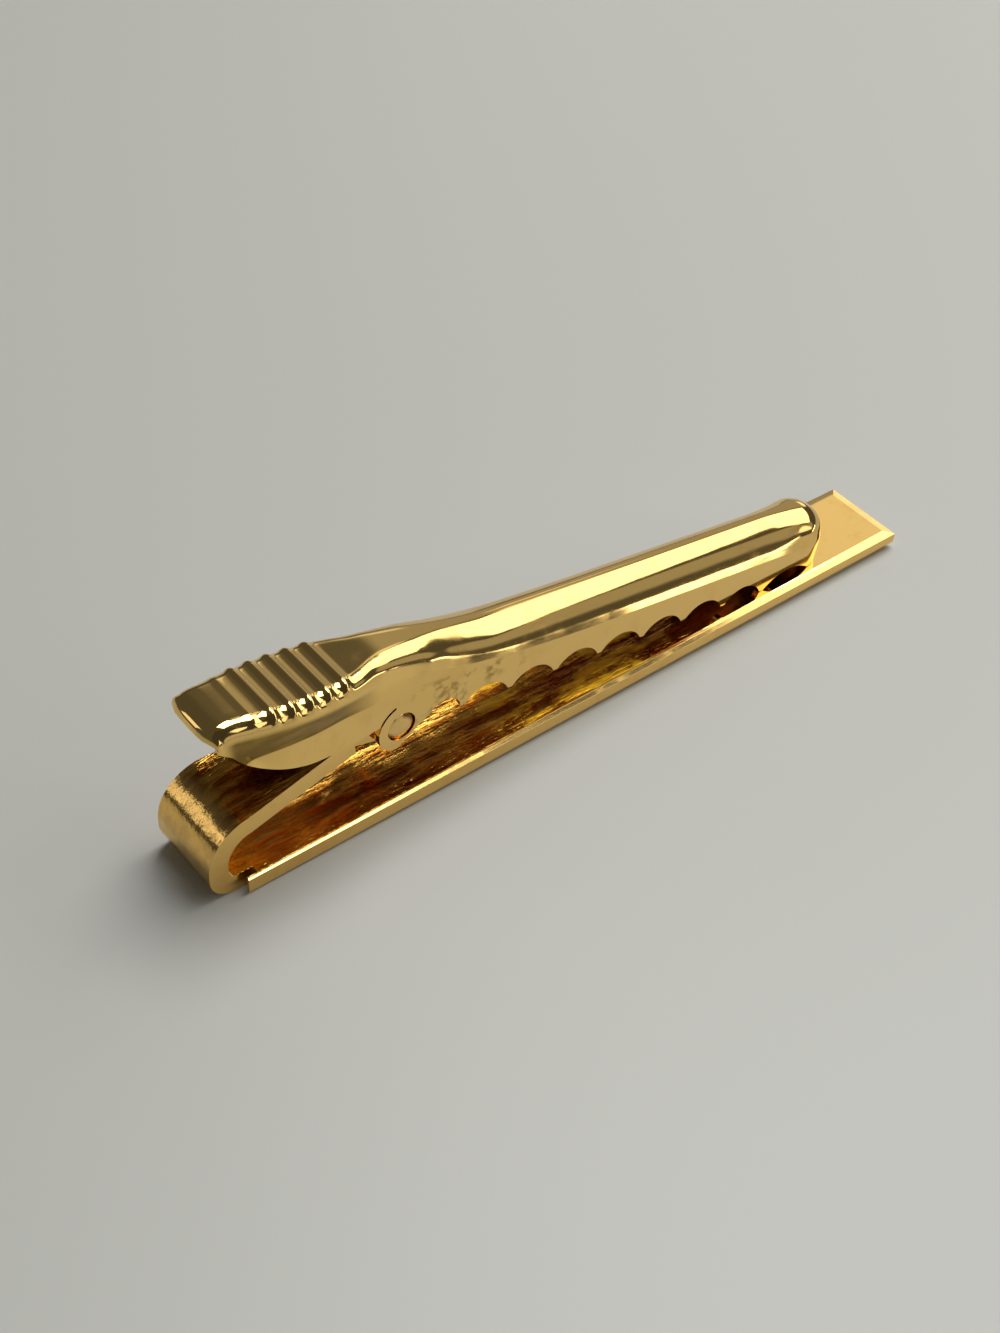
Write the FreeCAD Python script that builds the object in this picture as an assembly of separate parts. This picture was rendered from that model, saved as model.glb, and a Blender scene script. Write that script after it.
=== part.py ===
import FreeCAD, Part
import math
import os

from FreeCAD import Vector

# A tie clip that lies on the face of its bar, with the spring jaw above it. Millimetres.
# X runs from the folded end to the free end, Y across the bar, Z up.
# The origin is under the middle of the clip's length, on the face that the bar lies on.

# Bar: a tapered strip with bevelled upper edges, which folds back over itself at one end.
bar_length = 55.0
fold_width = 7.0
free_width = 6.2
sheet = 1.3
bevel_depth = 0.15
free_bevel = 0.65
fold_bevel = 0.15

# Tongue: the narrower end of the strip, curled up and back as the tail.
tongue_width = 5.6
curl_reach = 2.2
lower_bend = 1.75
upper_bend = 3.2
curl_rise = 0.6
tail_slope = 7.0
tail_run = 8.6
tail_end_width = 3.7
relief_width = 0.5
relief_depth = 0.7

# Pivot: two ears on the tail's neck, inside the jaw's walls, with the pin through all four.
pin_from_shoulder = 11.88
pin_height = 5.85
pin_radius = 1.0
pin_proud = 0.25
pin_rounding = 0.2
running_clearance = 0.03
side_clearance = 0.08
ear_sheet = 0.8
ear_radius = 1.55
neck_run = 1.5

# Jaw: one stamping, drawn level with the pin's axis at its origin and then tilted shut.
jaw_sheet = 0.45
jaw_slope = 8.2
jaw_gap = 0.04
channel_half = 1.95
channel_top = 4.42
channel_start = 9.0
channel_round_share = 0.9
nose_reach = 37.1
jaw_floor = 3.0

# Finger press and the neck between it and the channel, each as distances from the pin.
# Each flare is how far a side stands out beyond the channel's.
press_reach = 14.2
press_flare = 0.7
press_top = 4.9
press_start_reach = 11.6
press_end_reach = 4.6
press_round_share = 0.4
neck_start_reach = 2.2
neck_top = 5.32
neck_flare = 0.35
neck_round_share = 0.62
waist_reach = 1.6
waist_top = 5.2
waist_flare = 0.07
waist_round_share = 0.85
throat_reach = 5.2
throat_top = 4.72

# Turned-down lip at the end of the press.
lip_bend = 1.35
lip_curve = 3.4
lip_level = 3.65
lip_corner_reach = 12.7
lip_corner_level = 3.0

# Lower edge of the press's skirts and the lobes round the pin.
skirt_low_reach = 7.3
skirt_low_level = 0.62
skirt_mid_reach = 10.2
skirt_mid_level = 1.42
skirt_end_sag = 0.12
lobe_radius = 1.72
lobe_bottom_turn = 267.0
lobe_top_turn = 157.0
slit_width = 0.18
slit_start_turn = 172.0
slit_end_turn = 112.0
lobe_arch_reach = 2.2
lobe_arch_level = 0.25

# Ridges across the press.
ridge_count = 5
ridge_pitch = 1.25
ridge_width = 0.5
ridge_height = 0.22
first_ridge_reach = 9.8
ridge_drop = 1.35

# Scalloped teeth along the jaw's lower edges.
tooth_count = 8
tooth_pitch = 3.753
first_tooth_reach = 4.7
tooth_flat = 0.35
arch_height = 0.98
nose_heel_reach = 35.4
nose_arch_height = 0.8

# Leaf spring between the tail and the press.
leaf_sheet = 0.3
leaf_width = 2.2
leaf_bend = 1.1
leaf_clearance = 0.08
leaf_bend_run = 8.5
leaf_foot_run = 5.0
leaf_head_reach = 11.5

overrun = 1.0

shoulder_x = (curl_reach - bar_length) / 2
free_x = shoulder_x + bar_length
pin_x = shoulder_x + pin_from_shoulder
jaw_inside_half = channel_half - jaw_sheet
ear_outside = jaw_inside_half - side_clearance
tail_lean = math.radians(tail_slope)
jaw_lean = math.radians(jaw_slope)
round_share = math.sqrt(0.5)


def heading(degrees):
    """The direction at this turn from +X towards +Z."""
    angle = math.radians(degrees)
    return Vector(math.cos(angle), 0, math.sin(angle))


def turned(radius, degrees):
    """The point at this radius and turn about the Y axis, in the XZ plane."""
    return heading(degrees) * radius


def line(start, end):
    return Part.LineSegment(start, end).toShape()


def arc(start, middle, end):
    return Part.Arc(start, middle, end).toShape()


def side_slab(edges, half_width):
    """A solid of this side outline, as wide to each side of the middle."""
    face = Part.Face(Part.Wire(edges))
    face.translate(Vector(0, -half_width, 0))
    return face.extrude(Vector(0, 2 * half_width, 0))


def polygon_edges(points):
    return [line(a, b) for a, b in zip(points, points[1:] + points[:1])]


def outline(points):
    return Part.Wire(polygon_edges(points))


def plan_slab(points, low, high):
    """A solid of this plan outline between two heights."""
    face = Part.Face(outline([Vector(x, y, low) for x, y in points]))
    return face.extrude(Vector(0, 0, high - low))


def tail_top(run):
    """Height of the tail's upper face at a distance along X from the shoulders."""
    start = upper_arc_end()
    return start.z + (shoulder_x + run - start.x) * math.tan(tail_lean)


def lower_arc_centre():
    return Vector(shoulder_x - curl_reach + lower_bend, 0, lower_bend)


def upper_arc_centre():
    return Vector(shoulder_x - curl_reach + upper_bend, 0, lower_bend + curl_rise)


def upper_arc_end():
    return upper_arc_centre() + turned(upper_bend, 90 + tail_slope)


def curl():
    """The tongue's curl: a tight bend off the bar, then a wider one onto the tail."""
    low = lower_arc_centre()
    high = upper_arc_centre()
    high_mid = (180 + 90 + tail_slope) / 2
    low_in = lower_bend - sheet
    high_in = upper_bend - sheet
    root_out = Vector(shoulder_x + relief_depth, 0, 0)
    root_in = Vector(shoulder_x + relief_depth, 0, sheet)
    edges = [
        line(root_in, root_out),
        line(root_out, low + turned(lower_bend, 270)),
        arc(low + turned(lower_bend, 270), low + turned(lower_bend, 225), low + turned(lower_bend, 180)),
        line(low + turned(lower_bend, 180), high + turned(upper_bend, 180)),
        arc(high + turned(upper_bend, 180), high + turned(upper_bend, high_mid), upper_arc_end()),
        line(upper_arc_end(), high + turned(high_in, 90 + tail_slope)),
        arc(high + turned(high_in, 90 + tail_slope), high + turned(high_in, high_mid),
            high + turned(high_in, 180)),
        line(high + turned(high_in, 180), low + turned(low_in, 180)),
        arc(low + turned(low_in, 180), low + turned(low_in, 225), low + turned(low_in, 270)),
        line(low + turned(low_in, 270), root_in),
    ]
    return side_slab(edges, tongue_width / 2)


def tail():
    """The inclined tail, tapering to a shouldered neck that goes between the jaw's walls."""
    start = upper_arc_end()
    end_x = shoulder_x + tail_run + neck_run
    drop = turned(sheet, tail_slope - 90)
    end = Vector(end_x, 0, tail_top(tail_run + neck_run))
    side = side_slab(polygon_edges([start, end, end + drop, start + drop]), tongue_width / 2)
    back_x = start.x - overrun
    neck_x = shoulder_x + tail_run
    far_x = end_x + overrun
    half, end_half = tongue_width / 2, tail_end_width / 2
    plan = [(back_x, half), (start.x, half), (neck_x, end_half), (neck_x, ear_outside), (far_x, ear_outside),
            (far_x, -ear_outside), (neck_x, -ear_outside), (neck_x, -end_half), (start.x, -half), (back_x, -half)]
    return side.common(plan_slab(plan, 0, tail_top(tail_run) + upper_bend))


def ear(side):
    """One ear, round about the pin, running back into the neck."""
    pin = Vector(pin_x, 0, pin_height)
    neck_x = shoulder_x + tail_run
    top = Vector(neck_x, 0, tail_top(tail_run))
    drop = turned(sheet, tail_slope - 90)
    blade = [top, pin + turned(ear_radius, 90), pin + turned(ear_radius, 270), top + drop]
    inner = ear_outside - ear_sheet
    start_y = inner if side > 0 else -ear_outside
    face = Part.Face(outline(blade))
    face.translate(Vector(0, start_y, 0))
    plate = face.extrude(Vector(0, ear_sheet, 0))
    disc = Part.makeCylinder(ear_radius, ear_sheet, pin + Vector(0, start_y, 0), Vector(0, 1, 0))
    return plate.fuse(disc)


def pin_hole():
    """The running bore along the pin's axis, longer than everything it crosses."""
    reach = fold_width + overrun
    base = Vector(pin_x, -reach, pin_height)
    return Part.makeCylinder(pin_radius + running_clearance, 2 * reach, base, Vector(0, 1, 0))


def bar_plate():
    """The tapered bar: square below, bevelled above, with the bevel widening to the free end."""
    fold, free = fold_width / 2, free_width / 2
    full = [(shoulder_x, -fold), (free_x, -free), (free_x, free), (shoulder_x, fold)]
    inset_x = free_x - free_bevel
    inset = [(shoulder_x, fold_bevel - fold), (inset_x, free_bevel - free),
             (inset_x, free - free_bevel), (shoulder_x, fold - fold_bevel)]
    edge_height = sheet - bevel_depth
    lower = plan_slab(full, 0, edge_height)
    ring = outline([Vector(x, y, edge_height) for x, y in full])
    top = outline([Vector(x, y, sheet) for x, y in inset])
    return lower.fuse(Part.makeLoft([ring, top], True, True))


def relief(side):
    """The slot beside the tongue's root that frees the bend from the bar's shoulder."""
    inner = side * tongue_width / 2
    outer = inner + side * relief_width
    points = [(shoulder_x - overrun, inner), (shoulder_x + relief_depth, inner),
              (shoulder_x + relief_depth, outer), (shoulder_x - overrun, outer)]
    return plan_slab(points, -overrun, sheet + overrun)


def front_bar():
    body = bar_plate().cut(relief(1)).cut(relief(-1))
    body = body.fuse([curl(), tail(), ear(1), ear(-1)])
    return body.cut(pin_hole()).removeSplitter()


def pivot_pin():
    """The rivet, its rounded ends just proud of the jaw's walls."""
    half = channel_half + pin_proud
    base = Vector(pin_x, -half, pin_height)
    pin = Part.makeCylinder(pin_radius, 2 * half, base, Vector(0, 1, 0))
    rims = [edge for edge in pin.Edges if len(edge.Vertexes) == 1]
    return pin.makeFillet(pin_rounding, rims)


def stations():
    """Places along the jaw: distance from the pin, half width, top and how round the top is."""
    press_half = channel_half + press_flare
    neck_half = channel_half + neck_flare
    waist_half = channel_half + waist_flare
    return [
        (-press_reach - overrun, press_half, press_top, press_round_share),
        (-press_start_reach, press_half, press_top, press_round_share),
        (-press_end_reach, press_half, (press_top + neck_top) / 2, press_round_share),
        (-neck_start_reach, neck_half, neck_top, neck_round_share),
        (waist_reach, waist_half, waist_top, waist_round_share),
        (throat_reach, channel_half, throat_top, channel_round_share),
        (channel_start, channel_half, channel_top, channel_round_share),
    ]


def section(place, half, top, share, inset):
    """One cross-section of the jaw, an arch with straight walls, drawn in by the inset."""
    rounding = share * half - inset
    half = half - inset
    top = top - inset
    flat = half - rounding
    bend = rounding * round_share
    spring_line = top - rounding
    left = Vector(place, -half, spring_line)
    right = Vector(place, half, spring_line)
    left_top = Vector(place, -flat, top)
    right_top = Vector(place, flat, top)
    left_foot = Vector(place, -half, -jaw_floor)
    right_foot = Vector(place, half, -jaw_floor)
    return Part.Wire([
        line(left_foot, left),
        arc(left, Vector(place, -flat - bend, spring_line + bend), left_top),
        line(left_top, right_top),
        arc(right_top, Vector(place, flat + bend, spring_line + bend), right),
        line(right, right_foot),
        line(right_foot, left_foot),
    ])


def nose(inset):
    """The channel's round end: half its section turned about an upright axis."""
    half = channel_half - inset
    axis_x = nose_reach - channel_half
    top = channel_top - inset
    rounding = channel_round_share * channel_half - inset
    flat = half - rounding
    bend = rounding * round_share
    edges = [
        line(Vector(axis_x, 0, -jaw_floor), Vector(axis_x, -half, -jaw_floor)),
        line(Vector(axis_x, -half, -jaw_floor), Vector(axis_x, -half, top - rounding)),
        arc(Vector(axis_x, -half, top - rounding),
            Vector(axis_x, -flat - bend, top - rounding + bend), Vector(axis_x, -flat, top)),
        line(Vector(axis_x, -flat, top), Vector(axis_x, 0, top)),
        line(Vector(axis_x, 0, top), Vector(axis_x, 0, -jaw_floor)),
    ]
    return Part.Face(Part.Wire(edges)).revolve(Vector(axis_x, 0, 0), Vector(0, 0, 1), 180)


def lip_form(inset, reach_top):
    """The space under the turned-down lip: rounded in side view and in plan."""
    end = inset - press_reach
    bend = lip_bend - inset
    top = reach_top - inset
    sky = reach_top + neck_top
    far = nose_reach + overrun
    centre = Vector(end + bend, 0, top - bend)
    side = side_slab([
        line(Vector(end, 0, -jaw_floor - overrun), centre + turned(bend, 180)),
        arc(centre + turned(bend, 180), centre + turned(bend, 135), centre + turned(bend, 90)),
        line(centre + turned(bend, 90), Vector(end + bend, 0, sky)),
        line(Vector(end + bend, 0, sky), Vector(far, 0, sky)),
        line(Vector(far, 0, sky), Vector(far, 0, -jaw_floor - overrun)),
        line(Vector(far, 0, -jaw_floor - overrun), Vector(end, 0, -jaw_floor - overrun)),
    ], fold_width)
    radius = lip_curve - inset
    base = Vector(end + radius, 0, -jaw_floor - overrun)
    height = sky + jaw_floor + 2 * overrun
    round_end = Part.makeCylinder(radius, height, base, Vector(0, 0, 1))
    wide = [(end + radius, -fold_width), (far, -fold_width), (far, fold_width), (end + radius, fold_width)]
    plan = round_end.fuse(plan_slab(wide, -jaw_floor - overrun, sky))
    return side.common(plan)


def jaw_form(inset):
    """The jaw's filled form, from its lip to its nose, drawn in by the inset."""
    press = Part.makeLoft([section(*place, inset) for place in stations()], True, False)
    press = press.common(lip_form(inset, press_top))
    ring = section(channel_start, channel_half, channel_top, channel_round_share, inset)
    run = nose_reach - channel_half - channel_start
    channel = Part.Face(ring).extrude(Vector(run, 0, 0))
    return press.fuse([channel, nose(inset)])


def ridges():
    """Cross ridges over the press, wrapping a little way down its rounded sides."""
    raised = Part.makeLoft([section(*place, -ridge_height) for place in stations()], True, False)
    bars = []
    for index in range(ridge_count):
        middle = index * ridge_pitch - first_ridge_reach
        start, end = middle - ridge_width / 2, middle + ridge_width / 2
        points = [(start, -fold_width), (end, -fold_width), (end, fold_width), (start, fold_width)]
        bars.append(plan_slab(points, press_top - ridge_drop, neck_top + overrun))
    return raised.common(bars[0].multiFuse(bars[1:]))


def shut_level(reach):
    """Height of the shut jaw's underside, in the jaw's own frame, where it lies along the bar."""
    rise = sheet + jaw_gap - pin_height + reach * math.sin(jaw_lean)
    return rise / math.cos(jaw_lean)


def lower_edge():
    """The jaw's lower outline from lip to nose: skirt, lobe, arches, teeth and heel."""
    last_tooth = first_tooth_reach + (tooth_count - 1) * tooth_pitch
    tips = shut_level(last_tooth)
    lip_middle = Vector(-press_reach, 0, lip_level)
    lip_corner = Vector(-lip_corner_reach, 0, lip_corner_level)
    skirt_low = Vector(-skirt_low_reach, 0, skirt_low_level)
    lobe_top = turned(lobe_radius, lobe_top_turn)
    lobe_bottom = turned(lobe_radius, lobe_bottom_turn)
    skirt_mid = (skirt_low + lobe_top) / 2 - Vector(0, 0, skirt_end_sag)
    lobe_left = turned(lobe_radius, (lobe_top_turn + lobe_bottom_turn) / 2)
    start = Vector(lobe_arch_reach, 0, lobe_arch_level)
    edges = [
        line(lip_middle - Vector(overrun, 0, 0), lip_middle),
        line(lip_middle, lip_corner),
        arc(lip_corner, Vector(-skirt_mid_reach, 0, skirt_mid_level), skirt_low),
        arc(skirt_low, skirt_mid, lobe_top),
        arc(lobe_top, lobe_left, lobe_bottom),
        line(lobe_bottom, start),
    ]
    for index in range(tooth_count):
        middle = first_tooth_reach + index * tooth_pitch
        tooth_start = Vector(middle - tooth_flat / 2, 0, tips)
        tooth_end = Vector(middle + tooth_flat / 2, 0, tips)
        crown = Vector((start.x + tooth_start.x) / 2, 0, tips + arch_height)
        edges += [arc(start, crown, tooth_start), line(tooth_start, tooth_end)]
        start = tooth_end
    heel = Vector(nose_heel_reach, 0, shut_level(nose_heel_reach))
    crown = (start + heel) / 2 + Vector(0, 0, nose_arch_height)
    toe_reach = nose_reach + overrun
    return edges + [arc(start, crown, heel), line(heel, Vector(toe_reach, 0, shut_level(toe_reach)))]


def jaw_trim():
    """Everything above the jaw's lower outline."""
    edges = lower_edge()
    first = edges[0].Vertexes[0].Point
    last = edges[-1].Vertexes[-1].Point
    sky = neck_top + 2 * overrun
    high_last = Vector(last.x, 0, sky)
    high_first = Vector(first.x, 0, sky)
    edges += [line(last, high_last), line(high_last, high_first), line(high_first, first)]
    return side_slab(edges, fold_width)


def slit():
    """The relief slits between the lobes and the press's skirts, curved about the pin."""
    outer = lobe_radius + slit_width
    middle_turn = (slit_start_turn + slit_end_turn) / 2
    edges = [
        line(turned(lobe_radius, slit_start_turn), turned(outer, slit_start_turn)),
        arc(turned(outer, slit_start_turn), turned(outer, middle_turn), turned(outer, slit_end_turn)),
        line(turned(outer, slit_end_turn), turned(lobe_radius, slit_end_turn)),
        arc(turned(lobe_radius, slit_end_turn), turned(lobe_radius, middle_turn),
            turned(lobe_radius, slit_start_turn)),
    ]
    return side_slab(edges, fold_width)


def jaw():
    """The hollow stamping, drawn level and then tilted shut about the pin."""
    shell = jaw_form(0).fuse(ridges()).cut(jaw_form(jaw_sheet))
    shell = shell.common(jaw_trim()).cut(slit())
    shell.rotate(Vector(0, 0, 0), Vector(0, 1, 0), jaw_slope)
    shell.translate(Vector(pin_x, 0, pin_height))
    return shell.cut(pin_hole()).removeSplitter()


def leaf_spring():
    """A hairpin leaf: its lower arm lies on the tail and its upper arm bears under the press."""
    half = leaf_sheet / 2
    above = heading(90 + tail_slope)
    rest = leaf_clearance + half
    foot = Vector(shoulder_x + leaf_foot_run, 0, tail_top(leaf_foot_run)) + above * rest
    turn_point = Vector(shoulder_x + leaf_bend_run, 0, tail_top(leaf_bend_run)) + above * rest
    centre = turn_point + above * leaf_bend
    head_level = press_top - jaw_sheet - leaf_clearance - half
    head_x = pin_x - leaf_head_reach * math.cos(jaw_lean) + head_level * math.sin(jaw_lean)
    head_z = pin_height + leaf_head_reach * math.sin(jaw_lean) + head_level * math.cos(jaw_lean)
    head = Vector(head_x, 0, head_z)
    reach = head - centre
    bearing = math.degrees(math.atan2(reach.z, reach.x))
    spread = math.degrees(math.acos(leaf_bend / reach.Length))
    end_turn = bearing - spread
    start_turn = tail_slope - 90
    middle_turn = (start_turn + end_turn) / 2
    inner, outer = leaf_bend - half, leaf_bend + half
    out = heading(end_turn)
    edges = [
        line(foot + above * half, foot - above * half),
        line(foot - above * half, centre + turned(outer, start_turn)),
        arc(centre + turned(outer, start_turn), centre + turned(outer, middle_turn),
            centre + turned(outer, end_turn)),
        line(centre + turned(outer, end_turn), head + out * half),
        line(head + out * half, head - out * half),
        line(head - out * half, centre + turned(inner, end_turn)),
        arc(centre + turned(inner, end_turn), centre + turned(inner, middle_turn),
            centre + turned(inner, start_turn)),
        line(centre + turned(inner, start_turn), foot + above * half),
    ]
    return side_slab(edges, leaf_width / 2)


def main():
    os.makedirs("parts", exist_ok=True)
    for make in (front_bar, pivot_pin, jaw, leaf_spring):
        shape = make()
        shape.exportStep("parts/" + make.__name__ + ".step")
        box = shape.BoundBox
        print(make.__name__, len(shape.Solids), shape.isValid(), round(shape.Volume, 2),
              [round(v, 2) for v in (box.XMin, box.XMax, box.YMin, box.YMax, box.ZMin, box.ZMax)])


main()
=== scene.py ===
import math

import bmesh
import bpy
from mathutils import Matrix, Vector


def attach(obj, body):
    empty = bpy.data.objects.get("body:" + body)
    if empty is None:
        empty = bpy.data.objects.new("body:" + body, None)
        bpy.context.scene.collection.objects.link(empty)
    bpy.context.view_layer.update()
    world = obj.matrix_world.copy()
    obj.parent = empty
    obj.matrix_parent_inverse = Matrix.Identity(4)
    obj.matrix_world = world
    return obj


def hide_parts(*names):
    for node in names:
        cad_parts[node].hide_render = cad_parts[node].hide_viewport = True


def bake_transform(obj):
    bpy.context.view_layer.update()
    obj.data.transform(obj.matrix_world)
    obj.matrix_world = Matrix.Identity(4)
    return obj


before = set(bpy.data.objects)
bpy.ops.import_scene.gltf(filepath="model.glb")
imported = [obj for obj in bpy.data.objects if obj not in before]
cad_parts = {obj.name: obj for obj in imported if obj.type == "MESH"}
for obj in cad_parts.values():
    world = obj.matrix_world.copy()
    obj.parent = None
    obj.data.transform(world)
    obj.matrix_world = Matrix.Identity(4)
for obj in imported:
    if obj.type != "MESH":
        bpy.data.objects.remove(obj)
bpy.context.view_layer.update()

# A gilt tie clip lying on the face of its bar. Sizes are written in millimetres and used in metres,
# and angles are written in degrees.
MM = 0.001

# Bar: a tapered strip that folds back over itself as a tail.
SHOULDER_X = -26.4
FREE_X = 28.6
FOLD_WIDTH = 7.0
FREE_WIDTH = 6.2
SHEET = 1.3
BEVEL_DEPTH = 0.15
FREE_BEVEL = 0.65
FOLD_BEVEL = 0.15
FREE_UNDERCUT = 0.45
FOLD_UNDERCUT = 0.15
TONGUE_WIDTH = 5.6
LOWER_BEND = 1.75
LOWER_STEPS = 16
UPPER_BEND = 3.2
UPPER_STEPS = 24
CURL_END_X = -28.6
CURL_RISE = 0.6
UPPER_CENTRE = (CURL_END_X + UPPER_BEND, 0, LOWER_BEND + CURL_RISE)
TAIL_SLOPE = 7.0
TAIL_RUN = 8.6
TAIL_END_WIDTH = 3.7
NECK_WIDTH = 2.84
NECK_RUN = 1.5
RELIEF_WIDTH = 0.5
RELIEF_DEPTH = 0.7
BAR_ROUNDING = 0.05
BAR_EDGE = 38
BAR_SHARPEST = 11
# How near its level a picked point lies, how near the tail's end a picked face lies, how squarely a picked
# face looks the way that is asked for, and how far a cutter goes past what it cuts.
NEAR = 0.01
NEAR_END = 1
SQUARELY = 0.99
PAST = 1

# Pivot: a rivet through two ears of the bar's neck.
PIN_X = -14.52
PIN_Z = 5.85
PIN_RADIUS = 1.0
PIN_HALF = 2.2
PIN_STEPS = 72
PIN_SHARPEST = 50
PIN_BORE = 1.03
BORE_STEPS = 64
# The pin's ends, from rim to middle: how far in and how far up each step goes.
PIN_CROWN = [(0.1, 0.09), (0.15, 0.07), (0.2, 0.04), (0.25, 0.018), (0.15, 0.002)]
EAR_RADIUS = 1.55
EAR_SHEET = 0.8
EAR_INSET = 0.02
EAR_STEPS = 48
# The ear's back faces, told by their normals' x, are drawn to the neck, picked there and flattened into a root.
EAR_BACK = -0.75
EAR_DRAWN = 0.6
EAR_PICKED = 0.4
EAR_ROOT = 0.2
EAR_ROOT_SHARE = 0.5

# Jaw, level with the pin's axis at its origin and tilted shut afterwards.
JAW_SLOPE = 8.2
JAW_SHEET = 0.45
JAW_GAP = 0.04
JAW_EDGE = 55
JAW_SHARPEST = 24
JAW_MERGE = 0.001
NOSE_AXIS = 35.15
NOSE_STEP = 5
LIP_END = -13.95
LIP_BOW = 0.55
LIP_BOW_START = -11.0
LIP_WALL = 0.4
LIP_DROP = 0.3
LIP_EASE = 0.15
RIM_ROUNDING = 0.05

# Sections of the jaw: how close they stand on the press and on the channel, and how clear of its corners.
PRESS_FRONT = -3.5
PRESS_STEP = 0.06
CHANNEL_STEP = 0.16
CORNER_CLEAR = 0.03
WALL_ROWS = 7
FACET_ROWS = 3
ARCH_ROWS = 18
CROWN_ROWS = 4

# Tables along the jaw, each of a place and a value there.
# Half of the width at the foot.
JAW_HALF = [(-13.95, 2.42), (-11.5, 2.62), (-9.2, 2.85), (-7.9, 2.89), (-6.7, 2.86), (-4.2, 2.59),
            (-2.0, 2.275), (0.0, 2.14), (3.0, 2.16), (6.0, 2.19), (9.0, 2.2), (36.0, 2.2)]
# Height of the top.
JAW_TOP = [(-13.95, 3.95), (-13.86, 4.27), (-13.65, 4.53), (-13.3, 4.76), (-12.8, 4.9), (-12.2, 4.95),
           (-9.2, 4.95), (-6.7, 5.0), (-4.2, 5.16), (-2.0, 5.33), (-1.0, 5.35), (1.0, 5.256), (3.0, 5.05),
           (5.0, 4.8), (7.0, 4.57), (9.0, 4.5), (36.0, 4.5)]
# Height of the crease between the wall and the facet.
JAW_CREASE = [(-13.95, 2.1), (-11.0, 2.25), (-7.0, 2.6), (-3.2, 2.85), (-1.4, 3.7), (1.5, 3.7), (3.3, 3.3),
              (7.0, 2.88), (10.0, 2.64), (15.0, 2.5), (36.0, 2.45)]
# Slope of the facet above the crease.
JAW_FACET = [(-13.95, 86.0), (-12.9, 92.0), (-11.6, 98.0), (-5.0, 98.0), (-3.2, 88.0), (-1.5, 70.0),
             (2.0, 64.0), (9.0, 62.0), (31.0, 62.0), (34.0, 67.0), (35.2, 76.0), (36.0, 76.0)]
# Share of the top that is flat.
JAW_FLAT = [(-13.95, 0.6), (-12.6, 0.6), (-10.0, 0.68), (-5.0, 0.68), (-3.6, 0.56), (-2.2, 0.38), (1.6, 0.15),
            (5.2, 0.05), (9.0, 0.03), (31.0, 0.03), (35.0, 0.08), (36.0, 0.08)]
# How far the side is drawn in at the crease from where it is at the foot.
JAW_WAIST = [(-13.95, 0.0), (-13.0, 0.08), (-11.5, 0.26), (-5.0, 0.26), (-2.6, 0.04), (0.0, 0.0), (36.0, 0.0)]
# Share of the channel's own section.
JAW_CHANNEL = [(1.0, 0.0), (8.0, 1.0), (31.0, 1.0), (35.2, 0.0)]
# Stretches of that section from the top down: slope at the start, slope at the end, length.
CHANNEL_SHOULDER = [(0, 8, 0.13), (8, 38, 1.05)]
CHANNEL_SIDE = [(38, 44, 0.2), (44, 56, 0.5), (56, 60, 0.5), (62.5, 62.5, 0.38)]
STRETCH_STEPS = 40

# Lower edge of the jaw, from the lip to the nose: points of it as (place, height), and sizes.
LIP_FOOT = (-12.7, 3.0)
LIP_FOOT_RISE = 0.5
SKIRT_BACK = (-10.2, 1.42)
SKIRT_MIDDLE = (-7.3, 0.62)
SKIRT_FRONT = (-4.44, 0.526)
SKIRT_END = (-1.583, 0.672)
SKIRT_STOP = -1.785
LOBE_RADIUS = 1.72
LOBE_FOOT = (-0.09, -1.718)
LOBE_ARCH = (2.2, 0.25)
TOOTH_COUNT = 8
TOOTH_PITCH = 3.753
FIRST_TOOTH = 4.7
TOOTH_FLAT = 0.35
ARCH_HEIGHT = 0.98
HEEL = 35.4
HEEL_ARCH = 0.8

# Slits between the lobes and the skirts.
SLIT_WIDTH = 0.18
SLIT_START = 185
SLIT_TURN = 73
SLIT_STEPS = 24

# Ridges across the finger press: each one's place and share of the height.
RIDGES = [(-11.05, 0.25), (-9.8, 1.0), (-8.55, 1.0), (-7.3, 1.0), (-6.05, 1.0), (-4.8, 1.0)]
RIDGE_HEIGHT = 0.15
RIDGE_SPREAD = 0.27
RIDGE_END = 0.22
RIDGE_FADE = 0.55

# Leaf spring, from its foot on the tail, round its bend, to its head under the press.
LEAF_SHEET = 0.3
LEAF_WIDTH = 2.2
LEAF_GAP = 0.08
LEAF_FOOT_RUN = 5.0
LEAF_FOOT_STEPS = 6
LEAF_BEND_RUN = 8.5
LEAF_BEND = 1.1
LEAF_BEND_STEPS = 28
LEAF_HEAD = (-11.5, 4.9)
LEAF_HEAD_STEPS = 8
LEAF_ROUNDING = 0.04
LEAF_EDGE = 60
LEAF_SHARPEST = 40


def metres(*values):
    return tuple(value * MM for value in values)


def held(value):
    """The value, kept between 0 and 1."""
    return min(max(value, 0.0), 1.0)


def spot(degrees):
    """The direction at this turn from +X towards +Z."""
    angle = math.radians(degrees)
    return Vector((math.cos(angle), 0, math.sin(angle)))


# ---------------------------------------------------------------- modelling by hand

def clear():
    bpy.ops.object.select_all(action="DESELECT")


def named(name):
    """The primitive just added, with its place put into its mesh."""
    piece = bpy.context.active_object
    piece.name = name
    piece.data.name = name
    bpy.ops.object.transform_apply(location=True, rotation=True, scale=True)
    return piece


def work_on(piece):
    clear()
    piece.select_set(True)
    bpy.context.view_layer.objects.active = piece


def pick(piece, faces=None, points=None):
    """In edit mode, selects only the faces or points that pass the test."""
    bpy.ops.mesh.select_all(action="DESELECT")
    bpy.ops.mesh.select_mode(type="FACE" if faces else "VERT")
    shape = bmesh.from_edit_mesh(piece.data)
    if faces:
        for face in shape.faces:
            face.select_set(faces(face))
    else:
        for point in shape.verts:
            point.select_set(points(point.co / MM))
    shape.select_flush_mode()
    bmesh.update_edit_mesh(piece.data)


def pull(x, y, z):
    bpy.ops.mesh.extrude_region_move(TRANSFORM_OT_translate={"value": metres(x, y, z)})


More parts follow.
